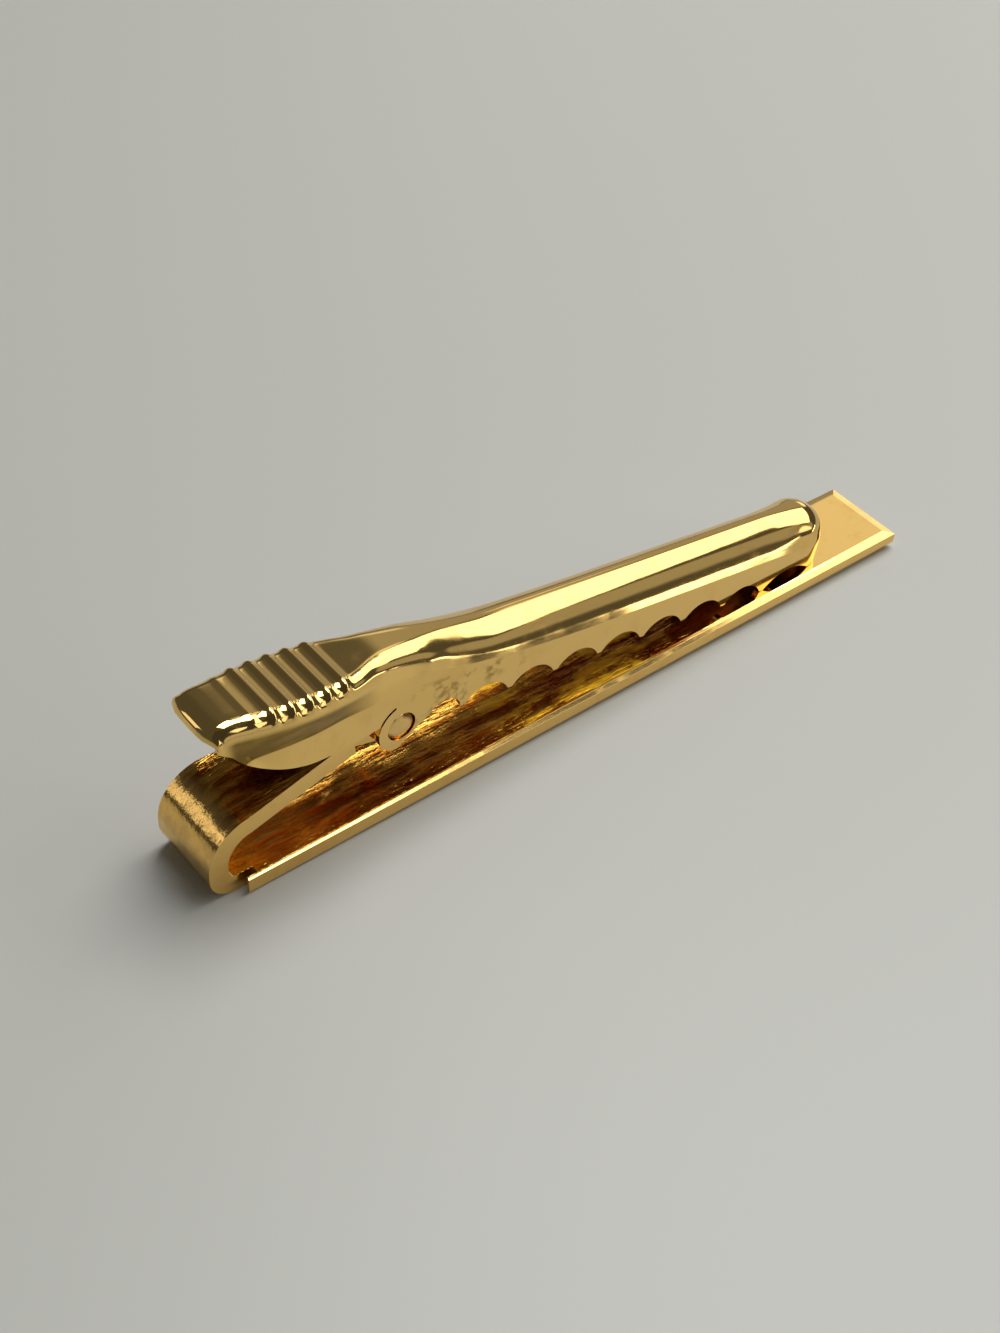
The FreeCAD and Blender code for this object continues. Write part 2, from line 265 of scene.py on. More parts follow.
def shift(x, y, z):
    bpy.ops.transform.translate(value=metres(x, y, z))


def stretch(x, y, z, about):
    bpy.ops.transform.resize(value=(x, y, z), center_override=metres(*about))


def curl(degrees, centre, steps):
    """Draws the selected end round an axis across the clip, clockwise as seen from the near side."""
    bpy.ops.mesh.spin(steps=steps, angle=-math.radians(degrees), center=metres(*centre), axis=(0, 1, 0))


def modify(piece, kind, **settings):
    """Adds a modifier and applies it."""
    work_on(piece)
    modifier = piece.modifiers.new(kind.title(), kind)
    for name, value in settings.items():
        setattr(modifier, name, value)
    bpy.ops.object.modifier_apply(modifier=modifier.name)


def round_edges(piece, width, sharpest):
    """Rounds the edges that turn by more than so many degrees."""
    modify(piece, "BEVEL", width=width * MM, segments=2, limit_method="ANGLE",
           angle_limit=math.radians(sharpest))


def cut(piece, tool, operation="DIFFERENCE"):
    """Cuts the tool's shape out of the piece, or joins it on, and removes the tool."""
    modify(piece, "BOOLEAN", object=tool, operation=operation, solver="EXACT")
    bpy.data.objects.remove(tool)


def tidy(piece, sharpest=30, merge=0.0005):
    """Merges doubles, turns the faces outwards and shades smooth all but the sharp edges."""
    work_on(piece)
    bpy.ops.object.mode_set(mode="EDIT")
    bpy.ops.mesh.select_all(action="SELECT")
    bpy.ops.mesh.remove_doubles(threshold=merge * MM)
    bpy.ops.mesh.normals_make_consistent(inside=False)
    bpy.ops.object.mode_set(mode="OBJECT")
    bpy.ops.object.shade_smooth_by_angle(angle=math.radians(sharpest))


def block(name, low, high):
    """A plain block between two corners."""
    clear()
    middle = [(a + b) / 2 for a, b in zip(low, high)]
    size = [b - a for a, b in zip(low, high)]
    bpy.ops.mesh.primitive_cube_add(size=1, location=metres(*middle), scale=metres(*size))
    return named(name)


def rod(name, radius, half, steps):
    """A round bar across the clip, on the pin's axis."""
    clear()
    bpy.ops.mesh.primitive_cylinder_add(vertices=steps, radius=radius * MM, depth=2 * half * MM,
                                        location=metres(PIN_X, 0, PIN_Z), rotation=(math.pi / 2, 0, 0))
    return named(name)


def bore(piece):
    """Cuts the pin's hole."""
    cut(piece, rod("bore", PIN_BORE, FOLD_WIDTH, BORE_STEPS))


def faces_towards(direction, where=None):
    """A test for faces that look this way, and whose middles pass a test of their own."""
    aim = Vector(direction)

    def test(face):
        return face.normal.dot(aim) > SQUARELY and (where is None or where(face.calc_center_median() / MM))
    return test


# ---------------------------------------------------------------- bar

def tail_start():
    """Where the tail's top leaves the upper bend."""
    return Vector(UPPER_CENTRE) + spot(90 + TAIL_SLOPE) * UPPER_BEND


def bevel_end(bar, end_x, width, on_level, inset, back):
    """Draws one end's points on a level in from both sides, and back along the bar."""
    pick(bar, points=lambda p: p.x * end_x > 0 and on_level(p.z))
    if back:
        shift(-back, 0, 0)
    stretch(1, 1 - 2 * inset / width, 1, (end_x, 0, 0))


def bar_strip():
    bar = block("bar_strip", (SHOULDER_X, -FOLD_WIDTH / 2, FREE_UNDERCUT),
                (FREE_X, FOLD_WIDTH / 2, SHEET - BEVEL_DEPTH))
    bpy.ops.object.mode_set(mode="EDIT")
    # Bevelled upper and lower edges, widening towards the free end.
    pick(bar, faces=faces_towards((0, 0, 1)))
    pull(0, 0, BEVEL_DEPTH)
    pick(bar, faces=faces_towards((0, 0, -1)))
    pull(0, 0, -FREE_UNDERCUT)
    pick(bar, points=lambda p: p.x > 0)
    stretch(1, FREE_WIDTH / FOLD_WIDTH, 1, (FREE_X, 0, 0))
    bevel_end(bar, FREE_X, FREE_WIDTH, lambda z: z > SHEET - NEAR, FREE_BEVEL, FREE_BEVEL)
    bevel_end(bar, SHOULDER_X, FOLD_WIDTH, lambda z: z > SHEET - NEAR, FOLD_BEVEL, 0)
    bevel_end(bar, FREE_X, FREE_WIDTH, lambda z: z < NEAR, FREE_UNDERCUT, FREE_UNDERCUT)
    bevel_end(bar, SHOULDER_X, FOLD_WIDTH, lambda z: z < NEAR, FOLD_UNDERCUT, 0)
    pick(bar, points=lambda p: p.x < 0 and abs(p.z - FREE_UNDERCUT) < NEAR)
    shift(0, 0, FOLD_UNDERCUT - FREE_UNDERCUT)
    # Tongue, curled up and back.
    for side in (-1, 1):
        bpy.ops.mesh.select_all(action="SELECT")
        bpy.ops.mesh.bisect(plane_co=metres(0, side * TONGUE_WIDTH / 2, 0), plane_no=(0, 1, 0))
    pick(bar, faces=faces_towards((-1, 0, 0), lambda c: abs(c.y) < TONGUE_WIDTH / 2))
    low_x = CURL_END_X + LOWER_BEND
    pull(low_x - SHOULDER_X, 0, 0)
    curl(90, (low_x, 0, LOWER_BEND), LOWER_STEPS)
    pull(0, 0, CURL_RISE)
    curl(90 - TAIL_SLOPE, UPPER_CENTRE, UPPER_STEPS)
    # Tail, tapering to a shouldered neck.
    start = tail_start()
    along_tail = spot(TAIL_SLOPE)
    run = (SHOULDER_X + TAIL_RUN - start.x) / along_tail.x
    end = start + along_tail * run
    pull(*(along_tail * run))
    stretch(1, TAIL_END_WIDTH / TONGUE_WIDTH, 1, end)

    def at_end(c):
        return abs(c.x - end.x) < NEAR_END

    for side in (-1, 1):
        pick(bar, faces=faces_towards(along_tail, at_end))
        bpy.ops.mesh.bisect(plane_co=metres(0, side * NECK_WIDTH / 2, 0), plane_no=(0, 1, 0))
    pick(bar, faces=faces_towards(along_tail, lambda c: at_end(c) and abs(c.y) < NECK_WIDTH / 2))
    pull(*(along_tail * NECK_RUN))
    bpy.ops.object.mode_set(mode="OBJECT")
    tidy(bar)
    # Relief slots beside the tongue, and the ears.
    for side in (-1, 1):
        inner, outer = side * TONGUE_WIDTH / 2, side * (TONGUE_WIDTH / 2 + RELIEF_WIDTH)
        low, high = min(inner, outer), max(inner, outer)
        cut(bar, block("relief", (SHOULDER_X - PAST, low, -PAST),
                       (SHOULDER_X + RELIEF_DEPTH, high, SHEET + PAST)))
        cut(bar, pin_ear(side, end), "UNION")
    bore(bar)
    round_edges(bar, BAR_ROUNDING, BAR_EDGE)
    tidy(bar, BAR_SHARPEST)
    return bar


def pin_ear(side, neck):
    """One ear: a disc round the pin, drawn back to the neck."""
    ear = rod("pin_ear", EAR_RADIUS, EAR_SHEET / 2, EAR_STEPS)
    bpy.ops.object.mode_set(mode="EDIT")
    bpy.ops.mesh.select_all(action="SELECT")
    shift(0, side * ((NECK_WIDTH - EAR_SHEET) / 2 - EAR_INSET), 0)
    pick(ear, faces=lambda face: face.normal.x < EAR_BACK)
    pull(neck.x - PIN_X + EAR_DRAWN, 0, 0)
    pick(ear, points=lambda p: p.x < neck.x + EAR_PICKED)
    stretch(0, 1, EAR_ROOT_SHARE, (neck.x + EAR_ROOT, 0, neck.z - SHEET / 2))
    bpy.ops.object.mode_set(mode="OBJECT")
    tidy(ear)
    return ear


# ---------------------------------------------------------------- pin

def rivet():
    pin = rod("rivet", PIN_RADIUS, PIN_HALF - sum(rise for _, rise in PIN_CROWN), PIN_STEPS)
    bpy.ops.object.mode_set(mode="EDIT")
    # Each end is crowned in steps, from its rim to its middle.
    pick(pin, faces=lambda face: abs(face.normal.y) > SQUARELY)
    for run, rise in PIN_CROWN:
        bpy.ops.mesh.inset(thickness=run * MM, depth=rise * MM, use_individual=True)
    bpy.ops.object.mode_set(mode="OBJECT")
    tidy(pin, PIN_SHARPEST)
    return pin


# ---------------------------------------------------------------- jaw

def along(table, place):
    """A smooth value between the places of a table."""
    if place <= table[0][0]:
        return table[0][1]
    for index in range(len(table) - 1):
        (x0, v0), (x1, v1) = table[index], table[index + 1]
        if place <= x1:
            before = table[index - 1] if index else table[0]
            after = table[index + 2] if index + 2 < len(table) else table[-1]
            m0 = (v1 - before[1]) / (x1 - before[0])
            m1 = (after[1] - v0) / (after[0] - x0)
            run = x1 - x0
            t = (place - x0) / run
            return ((2 * t ** 3 - 3 * t ** 2 + 1) * v0 + (t ** 3 - 2 * t ** 2 + t) * run * m0
                    + (3 * t ** 2 - 2 * t ** 3) * v1 + (t ** 3 - t ** 2) * run * m1)
    return table[-1][1]


def seated(x, y, z):
    """A point of the level jaw, tilted shut and moved to the pin, in metres."""
    lean = math.radians(JAW_SLOPE)
    return metres(PIN_X + x * math.cos(lean) + z * math.sin(lean), y,
                  PIN_Z - x * math.sin(lean) + z * math.cos(lean))


def levelled(x, z):
    """Place and height on the level jaw of a point so far from the pin on the shut one."""
    lean = math.radians(JAW_SLOPE)
    return x * math.cos(lean) - z * math.sin(lean), x * math.sin(lean) + z * math.cos(lean)


def shut_level(place):
    """Height on the level jaw that comes to rest just over the bar's top."""
    lean = math.radians(JAW_SLOPE)
    return (SHEET + JAW_GAP - PIN_Z + place * math.sin(lean)) / math.cos(lean)


def bowed(place, start, middle, end):
    """Height at a place of the circle through three points."""
    (ax, az), (bx, bz), (cx, cz) = start, middle, end
    a, b, c = ax ** 2 + az ** 2, bx ** 2 + bz ** 2, cx ** 2 + cz ** 2
    d = 2 * (ax * (bz - cz) + bx * (cz - az) + cx * (az - bz))
    ux = (a * (bz - cz) + b * (cz - az) + c * (az - bz)) / d
    uz = (a * (cx - bx) + b * (ax - cx) + c * (bx - ax)) / d
    radius = math.hypot(ax - ux, az - uz)
    rise = math.sqrt(max(0.0, radius ** 2 - (place - ux) ** 2))
    return uz + rise if bz > uz else uz - rise


def teeth():
    """Where each tooth's flat tip starts and ends."""
    for index in range(TOOTH_COUNT):
        tooth = FIRST_TOOTH + index * TOOTH_PITCH
        yield tooth - TOOTH_FLAT / 2, tooth + TOOTH_FLAT / 2


TIP_LEVEL = shut_level(FIRST_TOOTH + (TOOTH_COUNT - 1) * TOOTH_PITCH)


def foot_level(place):
    """Height of the jaw's lower edge: lip, skirt, lobe, arches with teeth between, and the nose's heel."""
    if place < LIP_FOOT[0]:
        return LIP_FOOT[1] + LIP_FOOT_RISE * (LIP_FOOT[0] - place) / (LIP_FOOT[0] - LIP_END)
    if place < SKIRT_MIDDLE[0]:
        return bowed(place, LIP_FOOT, SKIRT_BACK, SKIRT_MIDDLE)
    if place < SKIRT_STOP:
        return bowed(place, SKIRT_MIDDLE, SKIRT_FRONT, SKIRT_END)
    if place < -LOBE_RADIUS:
        return SKIRT_END[1] * (place + LOBE_RADIUS) / (SKIRT_STOP + LOBE_RADIUS)
    if place < LOBE_FOOT[0]:
        return -math.sqrt(max(0.0, LOBE_RADIUS ** 2 - place ** 2))
    if place < LOBE_ARCH[0]:
        share = (place - LOBE_FOOT[0]) / (LOBE_ARCH[0] - LOBE_FOOT[0])
        return LOBE_FOOT[1] + share * (LOBE_ARCH[1] - LOBE_FOOT[1])
    start = LOBE_ARCH
    for tip_start, tip_end in teeth():
        if place < tip_start:
            crown = ((start[0] + tip_start) / 2, TIP_LEVEL + ARCH_HEIGHT)
            return bowed(place, start, crown, (tip_start, TIP_LEVEL))
        if place <= tip_end:
            return TIP_LEVEL
        start = (tip_end, TIP_LEVEL)
    if place < HEEL:
        heel = (HEEL, shut_level(HEEL))
        crown = ((start[0] + heel[0]) / 2, (start[1] + heel[1]) / 2 + HEEL_ARCH)
        return bowed(place, start, crown, heel)
    return shut_level(place)


def jaw_places():
    """Where the jaw's sections stand: (place, turn), the turn being about the nose's upright axis."""
    corners = [SKIRT_STOP, -LOBE_RADIUS, LOBE_FOOT[0], LOBE_ARCH[0], HEEL]
    for tip in teeth():
        corners += tip
    place = LIP_END
    run = []
    while place < NOSE_AXIS:
        run.append(place)
        place += PRESS_STEP if place < PRESS_FRONT else CHANNEL_STEP
    run = sorted(p for p in run + corners if p <= NOSE_AXIS)
    kept = [p for p in run if p in corners or all(abs(p - c) > CORNER_CLEAR for c in corners)]
    nose = [(NOSE_AXIS, turn) for turn in range(0, 91, NOSE_STEP)]
    return [(p, 0) for p in kept] + nose


def half_section(place, turn):
    """From the lower edge to the middle of the top: (distance out, height)."""
    foot_out = along(JAW_HALF, place)
    outline = place + foot_out * math.sin(math.radians(turn))
    top = along(JAW_TOP, outline)
    foot = foot_level(outline)
    apart = (along(JAW_CREASE, outline) - foot - LIP_WALL) / 2
    crease = min(foot + LIP_WALL + apart + math.sqrt(apart ** 2 + LIP_EASE ** 2), top - LIP_DROP)
    facet = math.radians(along(JAW_FACET, outline))
    out = foot_out - along(JAW_WAIST, outline)
    flat = along(JAW_FLAT, outline) * out
    s, k = math.sin(facet), math.cos(facet)
    drop = top - crease
    rounding = (out - flat - k * drop / s) / (s - k * (1 - k) / s)
    rounding = min(rounding, drop / (1 - k))
    slope_run = (drop - rounding * (1 - k)) / s
    flat = out - rounding * s - slope_run * k
    rows = []
    for index in range(WALL_ROWS):
        share = index / WALL_ROWS
        rows.append((foot_out + (out - foot_out) * share, foot + (crease - foot) * share))
    for index in range(FACET_ROWS):
        up = slope_run * index / FACET_ROWS
        rows.append((out - up * k, crease + up * s))
    for index in range(ARCH_ROWS):
        angle = facet * (1 - index / ARCH_ROWS)
        rows.append((flat + rounding * math.sin(angle), top - rounding * (1 - math.cos(angle))))
    for index in range(CROWN_ROWS):
        rows.append((flat * (1 - index / (CROWN_ROWS - 1)), top))
    share = held(along(JAW_CHANNEL, outline))
    if share:
        channel = channel_rows(out, top, crease, len(rows) - WALL_ROWS)
        for index, (y, z) in enumerate(channel, WALL_ROWS):
            rows[index] = (rows[index][0] * (1 - share) + y * share, rows[index][1] * (1 - share) + z * share)
    return rows


def channel_rows(out, top, crease, count):
    """The channel's section from the crease to the middle of the top, its two parts scaled to meet both."""
    parts = []
    for stretches in (CHANNEL_SHOULDER, CHANNEL_SIDE):
        bits = [(math.radians(a + (b - a) * (i + 0.5) / STRETCH_STEPS), run / STRETCH_STEPS)
                for a, b, run in stretches for i in range(STRETCH_STEPS)]
        parts.append([(run * math.cos(angle), run * math.sin(angle)) for angle, run in bits])
    (y0, z0), (y1, z1) = [[sum(bit[way] for bit in part) for way in (0, 1)] for part in parts]
    drop = top - crease
    scale0 = (out * z1 - y1 * drop) / (y0 * z1 - y1 * z0)
    scale1 = (y0 * drop - out * z0) / (y0 * z1 - y1 * z0)
    line = [(0.0, top)]
    for part, scale in zip(parts, (scale0, scale1)):
        for y, z in part:
            line.append((line[-1][0] + y * scale, line[-1][1] - z * scale))
    return [line[round((len(line) - 1) * (1 - index / (count - 1)))] for index in range(count)]


def raise_ridges(jaw, outside):
    """Lifts the ridges out of the press's top, over its edges and a little way down its sides."""
    for index, normal in outside:
        point = jaw.data.vertices[index]
        place, height = levelled(point.co.x / MM - PIN_X, point.co.z / MM - PIN_Z)
        share = held((height - along(JAW_TOP, place) + RIDGE_END + RIDGE_FADE) / RIDGE_FADE)
        rise = sum(part * math.exp(-((place - ridge) / RIDGE_SPREAD) ** 2) for ridge, part in RIDGES)
        point.co += normal * rise * share * RIDGE_HEIGHT * MM


def lip_bow(place, out):
    """How far the lip's rounded plan draws a point back."""
    near_end = held((LIP_BOW_START - place) / (LIP_BOW_START - LIP_END))
    return LIP_BOW * (out / along(JAW_HALF, LIP_END)) ** 4 * near_end ** 2


def jaw_shell(materials):
    """A grid set to the sections, given its wall, ridges, slits and bore. Materials: outside, then inside."""
    places = jaw_places()
    half_rows = WALL_ROWS + FACET_ROWS + ARCH_ROWS + CROWN_ROWS
    rows = 2 * half_rows - 1
    columns = len(places)
    clear()
    bpy.ops.mesh.primitive_grid_add(x_subdivisions=columns - 1, y_subdivisions=rows - 1, size=1)
    jaw = named("jaw_shell")
    for material in materials:
        jaw.data.materials.append(material)
    points = jaw.data.vertices
    for column, (place, turn) in enumerate(places):
        section = half_section(place, turn)
        angle = math.radians(turn)
        for row in range(rows):
            near = row < half_rows
            out, height = section[row if near else rows - 1 - row]
            x = place + out * math.sin(angle) + lip_bow(place, out)
            y = (-1 if near else 1) * out * math.cos(angle)
            points[row * columns + column].co = seated(x, y, height)
    jaw.data.update()
    tidy(jaw)
    outside = [(point.index, point.normal.copy()) for point in points]
    modify(jaw, "SOLIDIFY", thickness=JAW_SHEET * MM, offset=-1, use_even_offset=False, use_rim=True,
           material_offset=1)
    raise_ridges(jaw, outside)
    round_edges(jaw, RIM_ROUNDING, JAW_EDGE)
    cut(jaw, slit_cutter())
    bore(jaw)
    tidy(jaw, JAW_SHARPEST, JAW_MERGE)
    return jaw


def slit_cutter():
    """The cutter for the slits between the lobes and the press's skirts, curved about the pin."""
    clear()
    turn = math.radians(SLIT_START)
    inner, outer = (Vector(seated(radius * math.cos(turn), -FOLD_WIDTH, radius * math.sin(turn)))
                    for radius in (LOBE_RADIUS, LOBE_RADIUS + SLIT_WIDTH))
    bpy.ops.mesh.primitive_plane_add(size=1)
    slit = named("slit_cutter")
    wide = Vector((0, 2 * FOLD_WIDTH * MM, 0))
    for point, place in zip(slit.data.vertices, (inner, outer, inner + wide, outer + wide)):
        point.co = place
    work_on(slit)
    bpy.ops.object.mode_set(mode="EDIT")
    bpy.ops.mesh.select_all(action="SELECT")
    curl(SLIT_TURN, (PIN_X, 0, PIN_Z), SLIT_STEPS)
    bpy.ops.object.mode_set(mode="OBJECT")
    tidy(slit)
    return slit


# ---------------------------------------------------------------- leaf spring

def over_tail(run, lift):
    """A point so far along the tail and so far off its top."""
    start = tail_start()
    top = start.z + (SHOULDER_X + run - start.x) * math.tan(math.radians(TAIL_SLOPE))
    return Vector((SHOULDER_X + run, 0, top)) + spot(90 + TAIL_SLOPE) * lift


def pull_in_steps(way, count):
    for _ in range(count):
        pull(*(way / count))


def leaf():
    lift = LEAF_GAP + LEAF_SHEET / 2
    foot = over_tail(LEAF_FOOT_RUN, lift)
    bend_start = over_tail(LEAF_BEND_RUN, lift)
    centre = bend_start + spot(90 + TAIL_SLOPE) * LEAF_BEND
    place, level = LEAF_HEAD
    head = Vector(seated(place, 0, level - JAW_SHEET - LEAF_GAP - LEAF_SHEET / 2)) / MM
    to_head = head - centre
    bearing = math.degrees(math.atan2(to_head.z, to_head.x))
    spread = math.degrees(math.acos(LEAF_BEND / to_head.length))
    end_turn = bearing - spread
    clear()
    bpy.ops.mesh.primitive_plane_add(size=MM)
    spring = named("leaf")
    bpy.ops.object.mode_set(mode="EDIT")
    bpy.ops.mesh.select_all(action="SELECT")
    stretch(LEAF_SHEET, LEAF_WIDTH, 1, (0, 0, 0))
    bpy.ops.transform.rotate(value=math.radians(90 - TAIL_SLOPE), orient_axis="Y", center_override=(0, 0, 0))
    shift(*foot)
    pull_in_steps(bend_start - foot, LEAF_FOOT_STEPS)
    curl(TAIL_SLOPE - 90 - end_turn, centre, LEAF_BEND_STEPS)
    bend_end = centre + spot(end_turn) * LEAF_BEND
    pull_in_steps(head - bend_end, LEAF_HEAD_STEPS)
    bpy.ops.object.mode_set(mode="OBJECT")
    tidy(spring)
    round_edges(spring, LEAF_ROUNDING, LEAF_EDGE)
    tidy(spring, LEAF_SHARPEST)
    return spring


# ---------------------------------------------------------------- finishes

# Polished gilt, and what it deepens to under a haze.
BAR_GILT, BAR_DEEP = (0.92, 0.595, 0.185, 1), (0.74, 0.415, 0.09, 1)
JAW_GILT, JAW_DEEP = (0.93, 0.615, 0.2, 1), (0.78, 0.465, 0.12, 1)
PIN_GILT, PIN_DEEP = (0.90, 0.60, 0.22, 1), (0.70, 0.40, 0.11, 1)
# Painted shade and painted reflection in a dark and a light colour: on the bar under the press, on the bar by
# the fold, in the press's recess and round the pin's ends; the recess colours also mark real pits by the pivot.
# Inside the jaw the gilt is darker, redder and mottled.
UNDER_SHADE_DARK, UNDER_SHADE_LIGHT = (0.26, 0.07, 0.006, 1), (0.76, 0.4, 0.07, 1)
FOLD_SHADE_DARK, FOLD_SHADE_LIGHT = (0.58, 0.37, 0.06, 1), (0.92, 0.68, 0.17, 1)
RECESS_SHADE_AND_PITS_DARK, RECESS_SHADE_AND_PITS_LIGHT = (0.24, 0.145, 0.03, 1), (0.36, 0.22, 0.05, 1)
RIM_SHADE_DARK, RIM_SHADE_LIGHT = (0.16, 0.045, 0.004, 1), (0.6, 0.28, 0.04, 1)
INSIDE_DARK, INSIDE_LIGHT = (0.55, 0.22, 0.03, 1), (0.82, 0.45, 0.08, 1)
# A painted reflection of light along the middle of the bar's top under the jaw.
FIERY_REFLECTION = (1.0, 0.58, 0.03, 1)
STEEL_DARK, STEEL_LIGHT = (0.5, 0.47, 0.4, 1), (0.62, 0.58, 0.5, 1)
FLOOR_PALE = (0.62, 0.62, 0.57, 1)

# Scales of the patterns that run along the clip: polishing lines, flames and the steel's drawn lines.
WHEEL_STRETCH = (60.0, 900.0, 900.0)
FLAME_STRETCH = (75.0, 420.0, 420.0)
STEEL_STRETCH = (80.0, 1500.0, 400.0)
# Heights in metres of the bumps.
WAVE_BUMP = 0.0000035
LINE_BUMP = 0.0000006
SMUDGE_BUMP = 0.0000008
RAW_BUMP = 0.00002
INSIDE_BUMP = 0.000012
STEEL_BUMP = 0.000002


class Wire:
    """A shader socket that takes part in plain arithmetic."""

    def __init__(self, tree, socket):
        self.tree, self.socket = tree, socket

    def maths(self, operation, *values):
        node = self.tree.nodes.new("ShaderNodeMath")
        node.operation = operation
        for slot, value in zip(node.inputs, values):
            if isinstance(value, Wire):
                self.tree.links.new(value.socket, slot)
            else:
                slot.default_value = value
        return Wire(self.tree, node.outputs[0])

    def __add__(self, other): return self.maths("ADD", self, other)
    def __radd__(self, other): return self.maths("ADD", other, self)
    def __sub__(self, other): return self.maths("SUBTRACT", self, other)
    def __rsub__(self, other): return self.maths("SUBTRACT", other, self)
    def __mul__(self, other): return self.maths("MULTIPLY", self, other)
    def __rmul__(self, other): return self.maths("MULTIPLY", other, self)
    def __pow__(self, other): return self.maths("POWER", self, other)
    def __rpow__(self, other): return self.maths("POWER", other, self)
    def __abs__(self): return self.maths("ABSOLUTE", self)


class Finish:
    """The nodes of a material or of the world, and the means to wire them."""

    def __init__(self, owner):
        owner.use_nodes = True
        self.owner = owner
        self.tree = owner.node_tree

    def node(self, kind, settings=None, output=0, **sockets):
        """A new node's output. Settings come first; a socket is given by its name, or as s and its number."""
        node = self.tree.nodes.new(kind)
        for name, value in (settings or {}).items():
            setattr(node, name, value)
        for name, value in sockets.items():
            self.join(node.inputs[int(name[1:])] if name[1:].isdigit() else node.inputs[name], value)
        return Wire(self.tree, node.outputs[output])

    def join(self, socket, value):
        if isinstance(value, Wire):
            self.tree.links.new(value.socket, socket)
        else:
            socket.default_value = value

    def set(self, shader, **sockets):
        for name, value in sockets.items():
            self.join(self.tree.nodes[shader].inputs[name.replace("_", " ")], value)


def new_material(name):
    """A new material's nodes, and the place on the piece."""
    f = Finish(bpy.data.materials.new(name))
    return f, f.node("ShaderNodeTexCoord", output=3)


def surface(f, tone, rough, height):
    """A metal surface with bumps."""
    bump = f.node("ShaderNodeBump", s0=1.0, s1=1.0, Height=height)
    f.set("Principled BSDF", Base_Color=tone, Metallic=1.0, Roughness=rough, Normal=bump)
    return f.owner


def step(f, value, start, end):
    """0 before start and 1 after end, smoothly between."""
    return f.node("ShaderNodeMapRange", {"interpolation_type": "SMOOTHSTEP"}, s0=value, s1=start, s2=end,
                  s3=0.0, s4=1.0)


def ramp(f, value, start, end):
    """A step whose start and end are in millimetres."""
    return step(f, value, start * MM, end * MM)


def noise(f, where, scale, detail=3.0, roughness=0.6):
    return f.node("ShaderNodeTexNoise", Vector=where, Scale=scale, Detail=detail, Roughness=roughness)


def stretched(f, where, scale):
    return f.node("ShaderNodeMapping", Vector=where, Scale=scale)


def blend(f, share, first, second):
    return f.node("ShaderNodeMix", {"data_type": "RGBA"}, output=2, s0=share, s6=first, s7=second)


def axis(f, vector, number):
    return f.node("ShaderNodeSeparateXYZ", output=number, Vector=vector)


def gilt(name, colour, deep, roughness, painted_shade_and_pits):
    """Polished gilt: drawn along the bar by the polishing wheel, with faint waves and smudges.

    Where the mask says so, a dark and a light colour are laid in streaks, wavier and coarser: painted shade and
    painted reflection, and on the press's walls also real pits and stains.
    """
    f, here = new_material(name)
    lines = noise(f, stretched(f, here, WHEEL_STRETCH), scale=6.0)
    waves = noise(f, here, scale=260.0, detail=1.0, roughness=0.5)
    smudge = noise(f, here, scale=420.0, detail=4.0, roughness=0.65)
    haze = step(f, smudge, 0.5, 0.72)
    tone = blend(f, haze * 0.35, colour, deep)
    rough = roughness + haze * 0.07 + lines * 0.05
    height = waves * WAVE_BUMP + lines * LINE_BUMP + smudge * SMUDGE_BUMP
    mask, dark, light, wavy, coarse = painted_shade_and_pits(f, here)
    flame = noise(f, stretched(f, here, FLAME_STRETCH), scale=2.2, detail=5.0, roughness=0.62)
    mottle = noise(f, here, scale=900.0, detail=5.0, roughness=0.65)
    patch = step(f, flame * 0.8 + mottle * 0.2, 0.42, 0.6)
    tone = blend(f, mask, tone, blend(f, patch, dark, light))
    rough = rough + mask * (0.1 * mottle + patch * coarse)
    height = height + mask * (flame * 8 + mottle) * wavy
    return surface(f, tone, rough, height)


def bar_painted_shade_and_reflection(f, here):
    """Painted shade and painted reflection on the bar's top under the jaw, on the tail's top and, faintly, on
    the curl.
    """
    place, height = axis(f, here, 0), axis(f, here, 2)
    facing = axis(f, f.node("ShaderNodeNewGeometry", output=1), 1)
    broad = 1 - step(f, abs(facing), 0.5, 0.8)
    top = ramp(f, height, SHEET - 0.06, SHEET - 0.01)
    curl_share = 0.3 + 0.7 * ramp(f, place, -27.4, -26.2)
    mask = (1 - ramp(f, place, 7, 14)) * top * broad * curl_share
    # Painted shade and reflection: olive by the fold, red-brown under the press and a fiery painted reflection
    # along the middle.
    fold = (1 - ramp(f, place, -24, -19)) * (1 - ramp(f, height, 2.0, 3.2))
    middle = ramp(f, place, -9, -4) * (1 - ramp(f, place, 5, 10))
    dark = blend(f, fold, UNDER_SHADE_DARK, FOLD_SHADE_DARK)
    light = blend(f, middle, blend(f, fold, UNDER_SHADE_LIGHT, FOLD_SHADE_LIGHT), FIERY_REFLECTION)
    return mask, dark, light, RAW_BUMP + middle * RAW_BUMP, middle * 0.36


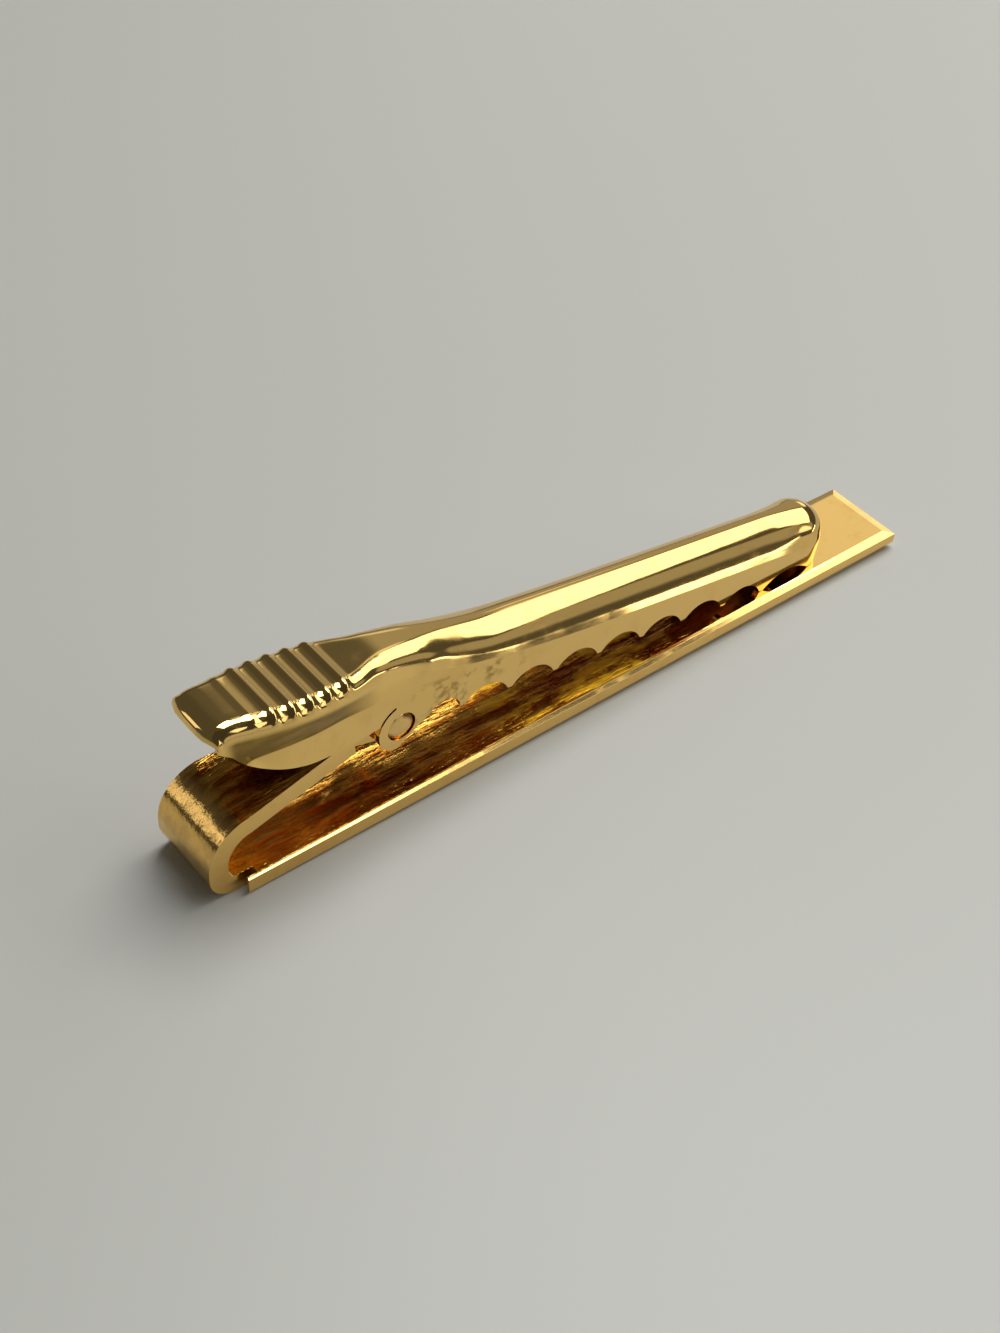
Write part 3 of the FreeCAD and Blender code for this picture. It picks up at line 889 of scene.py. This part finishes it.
def press_shade_and_pits(f, here):
    """Painted shade in the recess along the press's sides, between the ridges' ends and the crease, and real
    pits by the pivot.
    """
    x, y, z = (axis(f, here, number) for number in range(3))
    place, height = levelled(x - PIN_X * MM, z - PIN_Z * MM)
    side = ramp(f, abs(y), 2.1, 2.3)
    crease = 2.36 * MM + (place + 9 * MM) * 0.075
    band = ramp(f, height - crease, -0.03, 0.05) * (1 - ramp(f, height, 3.75, 4.2))
    ends = ramp(f, place, -13.2, -12.2) * (1 - ramp(f, place, -5.2, -1.8))
    # Pits and stains that the wheel left on the walls by the pivot.
    around = ramp(f, place, 0.2, 1.0) * (1 - ramp(f, place, 7.5, 10)) * (1 - ramp(f, height, 2.5, 2.9))
    fine = step(f, noise(f, here, scale=1700.0, detail=2.0, roughness=0.5), 0.46, 0.64)
    broad = step(f, noise(f, here, scale=420.0, detail=1.0, roughness=0.5), 0.4, 0.58)
    return side * band * ends + around * (fine * broad) * 0.6, RECESS_SHADE_AND_PITS_DARK, RECESS_SHADE_AND_PITS_LIGHT, 0.0, 0.0


def pin_rim_shade(f, here):
    """Painted shade round the rim of the pin's crowned ends, in brown patches."""
    x, z = axis(f, here, 0) - PIN_X * MM, axis(f, here, 2) - PIN_Z * MM
    out = (x * x + z * z) ** 0.5
    rim = ramp(f, out, 0.5, 0.85) * step(f, noise(f, here, scale=900.0, detail=2.0, roughness=0.5), 0.38, 0.55)
    return rim, RIM_SHADE_DARK, RIM_SHADE_LIGHT, 0.0, 0.0


def dark_inside_gilt(name):
    """Gilt inside the jaw: dark, red and mottled."""
    f, here = new_material(name)
    mottle = noise(f, here, scale=700.0, detail=5.0, roughness=0.65)
    patch = step(f, mottle, 0.35, 0.65)
    tone = blend(f, patch, INSIDE_DARK, INSIDE_LIGHT)
    return surface(f, tone, 0.2 + patch * 0.18, mottle * INSIDE_BUMP)


def steel(name):
    """Spring steel with the lines of its drawing."""
    f, here = new_material(name)
    lines = noise(f, stretched(f, here, STEEL_STRETCH), scale=8.0, roughness=0.5)
    tone = blend(f, lines, STEEL_DARK, STEEL_LIGHT)
    return surface(f, tone, 0.22 + lines * 0.2, lines * STEEL_BUMP)


def give(piece, material):
    piece.data.materials.clear()
    piece.data.materials.append(material)


# ---------------------------------------------------------------- build

bar = bar_strip()
jaw = jaw_shell([gilt("jaw_gilt_finish", JAW_GILT, JAW_DEEP, 0.05, press_shade_and_pits),
                 dark_inside_gilt("jaw_inside_finish")])
pin = rivet()
spring = leaf()

give(bar, gilt("bar_gilt_finish", BAR_GILT, BAR_DEEP, 0.07, bar_painted_shade_and_reflection))
give(pin, gilt("pin_gilt_finish", PIN_GILT, PIN_DEEP, 0.08, pin_rim_shade))
give(spring, steel("leaf_steel_finish"))

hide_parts("front_bar")
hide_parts("jaw")
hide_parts("pivot_pin")
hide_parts("leaf_spring")
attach(bar, "bar")
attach(pin, "bar")
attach(jaw, "lever")
metres(-18.2, 0, 7.6)
metres(-20.5, 0, 10.0)
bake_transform(spring)

# ---------------------------------------------------------------- stage, light and camera

# The floor and the lights, in metres.
FLOOR_SIZE = 8.0
PANEL_DISTANCE = 0.6
# Soft lights: azimuth, elevation, width, height, radiance.
PANELS = {
    "main_panel": (-9.5, 43.5, 0.61, 0.2, 2.2),
    "top_panel": (25, 68, 0.34, 0.34, 5.7),
    "back_panel": (141, 20, 0.1, 0.22, 1.0),
    "side_panel": (-57.5, 27, 0.17, 0.32, 1.4),
    "low_panel": (-36, 1.2, 0.3, 0.045, 3.2),
}
# The low light would show as a glow on the floor, so it lights the clip alone.
LIGHTS_CLIP_ALONE = "low_panel"

# Brighter zones of the sky: brightness, azimuth, elevation, and how far it is full and where it ends.
SKY_LEVEL = 0.08
SKY_ZONES = [(0.28, -44, 20, 8, 12), (0.75, 36, 39, 4.5, 8), (0.26, 40, 17, 13, 22), (1.0, 28, 14, 5, 8),
             (0.45, 49, 20.5, 4, 7), (0.03, 56, 33, 5, 24), (0.7, -76, 7, 9, 16)]
# A zone that is dimmed, by this share.
SKY_DIMMED = (0.4, -108, 25, 52, 60)
SKY_GREEN = 0.99
SKY_BLUE = 0.96

# Camera: the nearest that it sees is in metres, and the other sizes are in millimetres.
LENS = 54.0
SENSOR = 36.0
NEAREST = 0.001
CAMERA_PLACE = (-65.955, -69.213, 90.534)
CAMERA_RIGHT = (0.78277532, -0.61997015, 0.05384985)
CAMERA_UP = (0.39483726, 0.56167427, 0.7270664)
CAMERA_BACK = (-0.48100554, -0.54786771, 0.68445207)

clear()
bpy.ops.mesh.primitive_plane_add(size=FLOOR_SIZE, location=(0, 0, 0))
floor = named("floor")
pale = Finish(bpy.data.materials.new("floor_pale"))
pale.set("Principled BSDF", Base_Color=FLOOR_PALE, Roughness=0.4)
give(floor, pale.owner)


def bearing_of(azimuth, elevation):
    """The direction from the clip to a place in the sky."""
    a, e = math.radians(azimuth), math.radians(elevation)
    return Vector((math.cos(e) * math.cos(a), math.cos(e) * math.sin(a), math.sin(e)))


def soft_panel(name, azimuth, elevation, width, height, radiance):
    """A rectangular soft light that faces the clip."""
    away = bearing_of(azimuth, elevation)
    lamp = bpy.data.lights.new(name, "AREA")
    lamp.shape = "RECTANGLE"
    lamp.size, lamp.size_y = width, height
    lamp.energy = radiance * math.pi * width * height
    holder = bpy.data.objects.new(name, lamp)
    bpy.context.collection.objects.link(holder)
    holder.location = away * PANEL_DISTANCE
    holder.rotation_euler = away.to_track_quat("Z", "Y").to_euler()
    holder.visible_camera = False
    return holder


for panel, settings in PANELS.items():
    holder = soft_panel(panel, *settings)
    if panel == LIGHTS_CLIP_ALONE:
        lit = bpy.data.collections.new(panel + "_lit")
        for piece in (bar, jaw, pin, spring):
            lit.objects.link(piece)
        holder.light_linking.receiver_collection = lit

world = bpy.data.worlds.new("studio")
bpy.context.scene.world = world
sky = Finish(world)
looking = sky.node("ShaderNodeTexCoord", output=0)


def sky_zone(azimuth, elevation, full, edge):
    """1 within so many degrees of a bearing, falling to 0 at the edge."""
    aim = sky.node("ShaderNodeVectorMath", {"operation": "DOT_PRODUCT"}, output=1, s0=looking,
                   s1=bearing_of(azimuth, elevation))
    return step(sky, aim, math.cos(math.radians(edge)), math.cos(math.radians(full)))


level = SKY_LEVEL
for brightness, *zone in SKY_ZONES:
    level = level + brightness * sky_zone(*zone)
dimmed, *zone = SKY_DIMMED
level = level * (1 - dimmed * sky_zone(*zone))
tone = sky.node("ShaderNodeCombineColor", s0=level, s1=level * SKY_GREEN, s2=level * SKY_BLUE)
sky.set("Background", Color=tone)

lens = bpy.data.cameras.new("camera")
lens.lens = LENS
lens.sensor_width = SENSOR
lens.clip_start = NEAREST
viewer = bpy.data.objects.new("camera", lens)
bpy.context.collection.objects.link(viewer)
turn = Matrix((CAMERA_RIGHT, CAMERA_UP, CAMERA_BACK)).transposed().to_4x4()
viewer.matrix_world = Matrix.Translation(Vector(CAMERA_PLACE) * MM) @ turn
bpy.context.scene.camera = viewer
bpy.context.scene.view_settings.view_transform = "Standard"
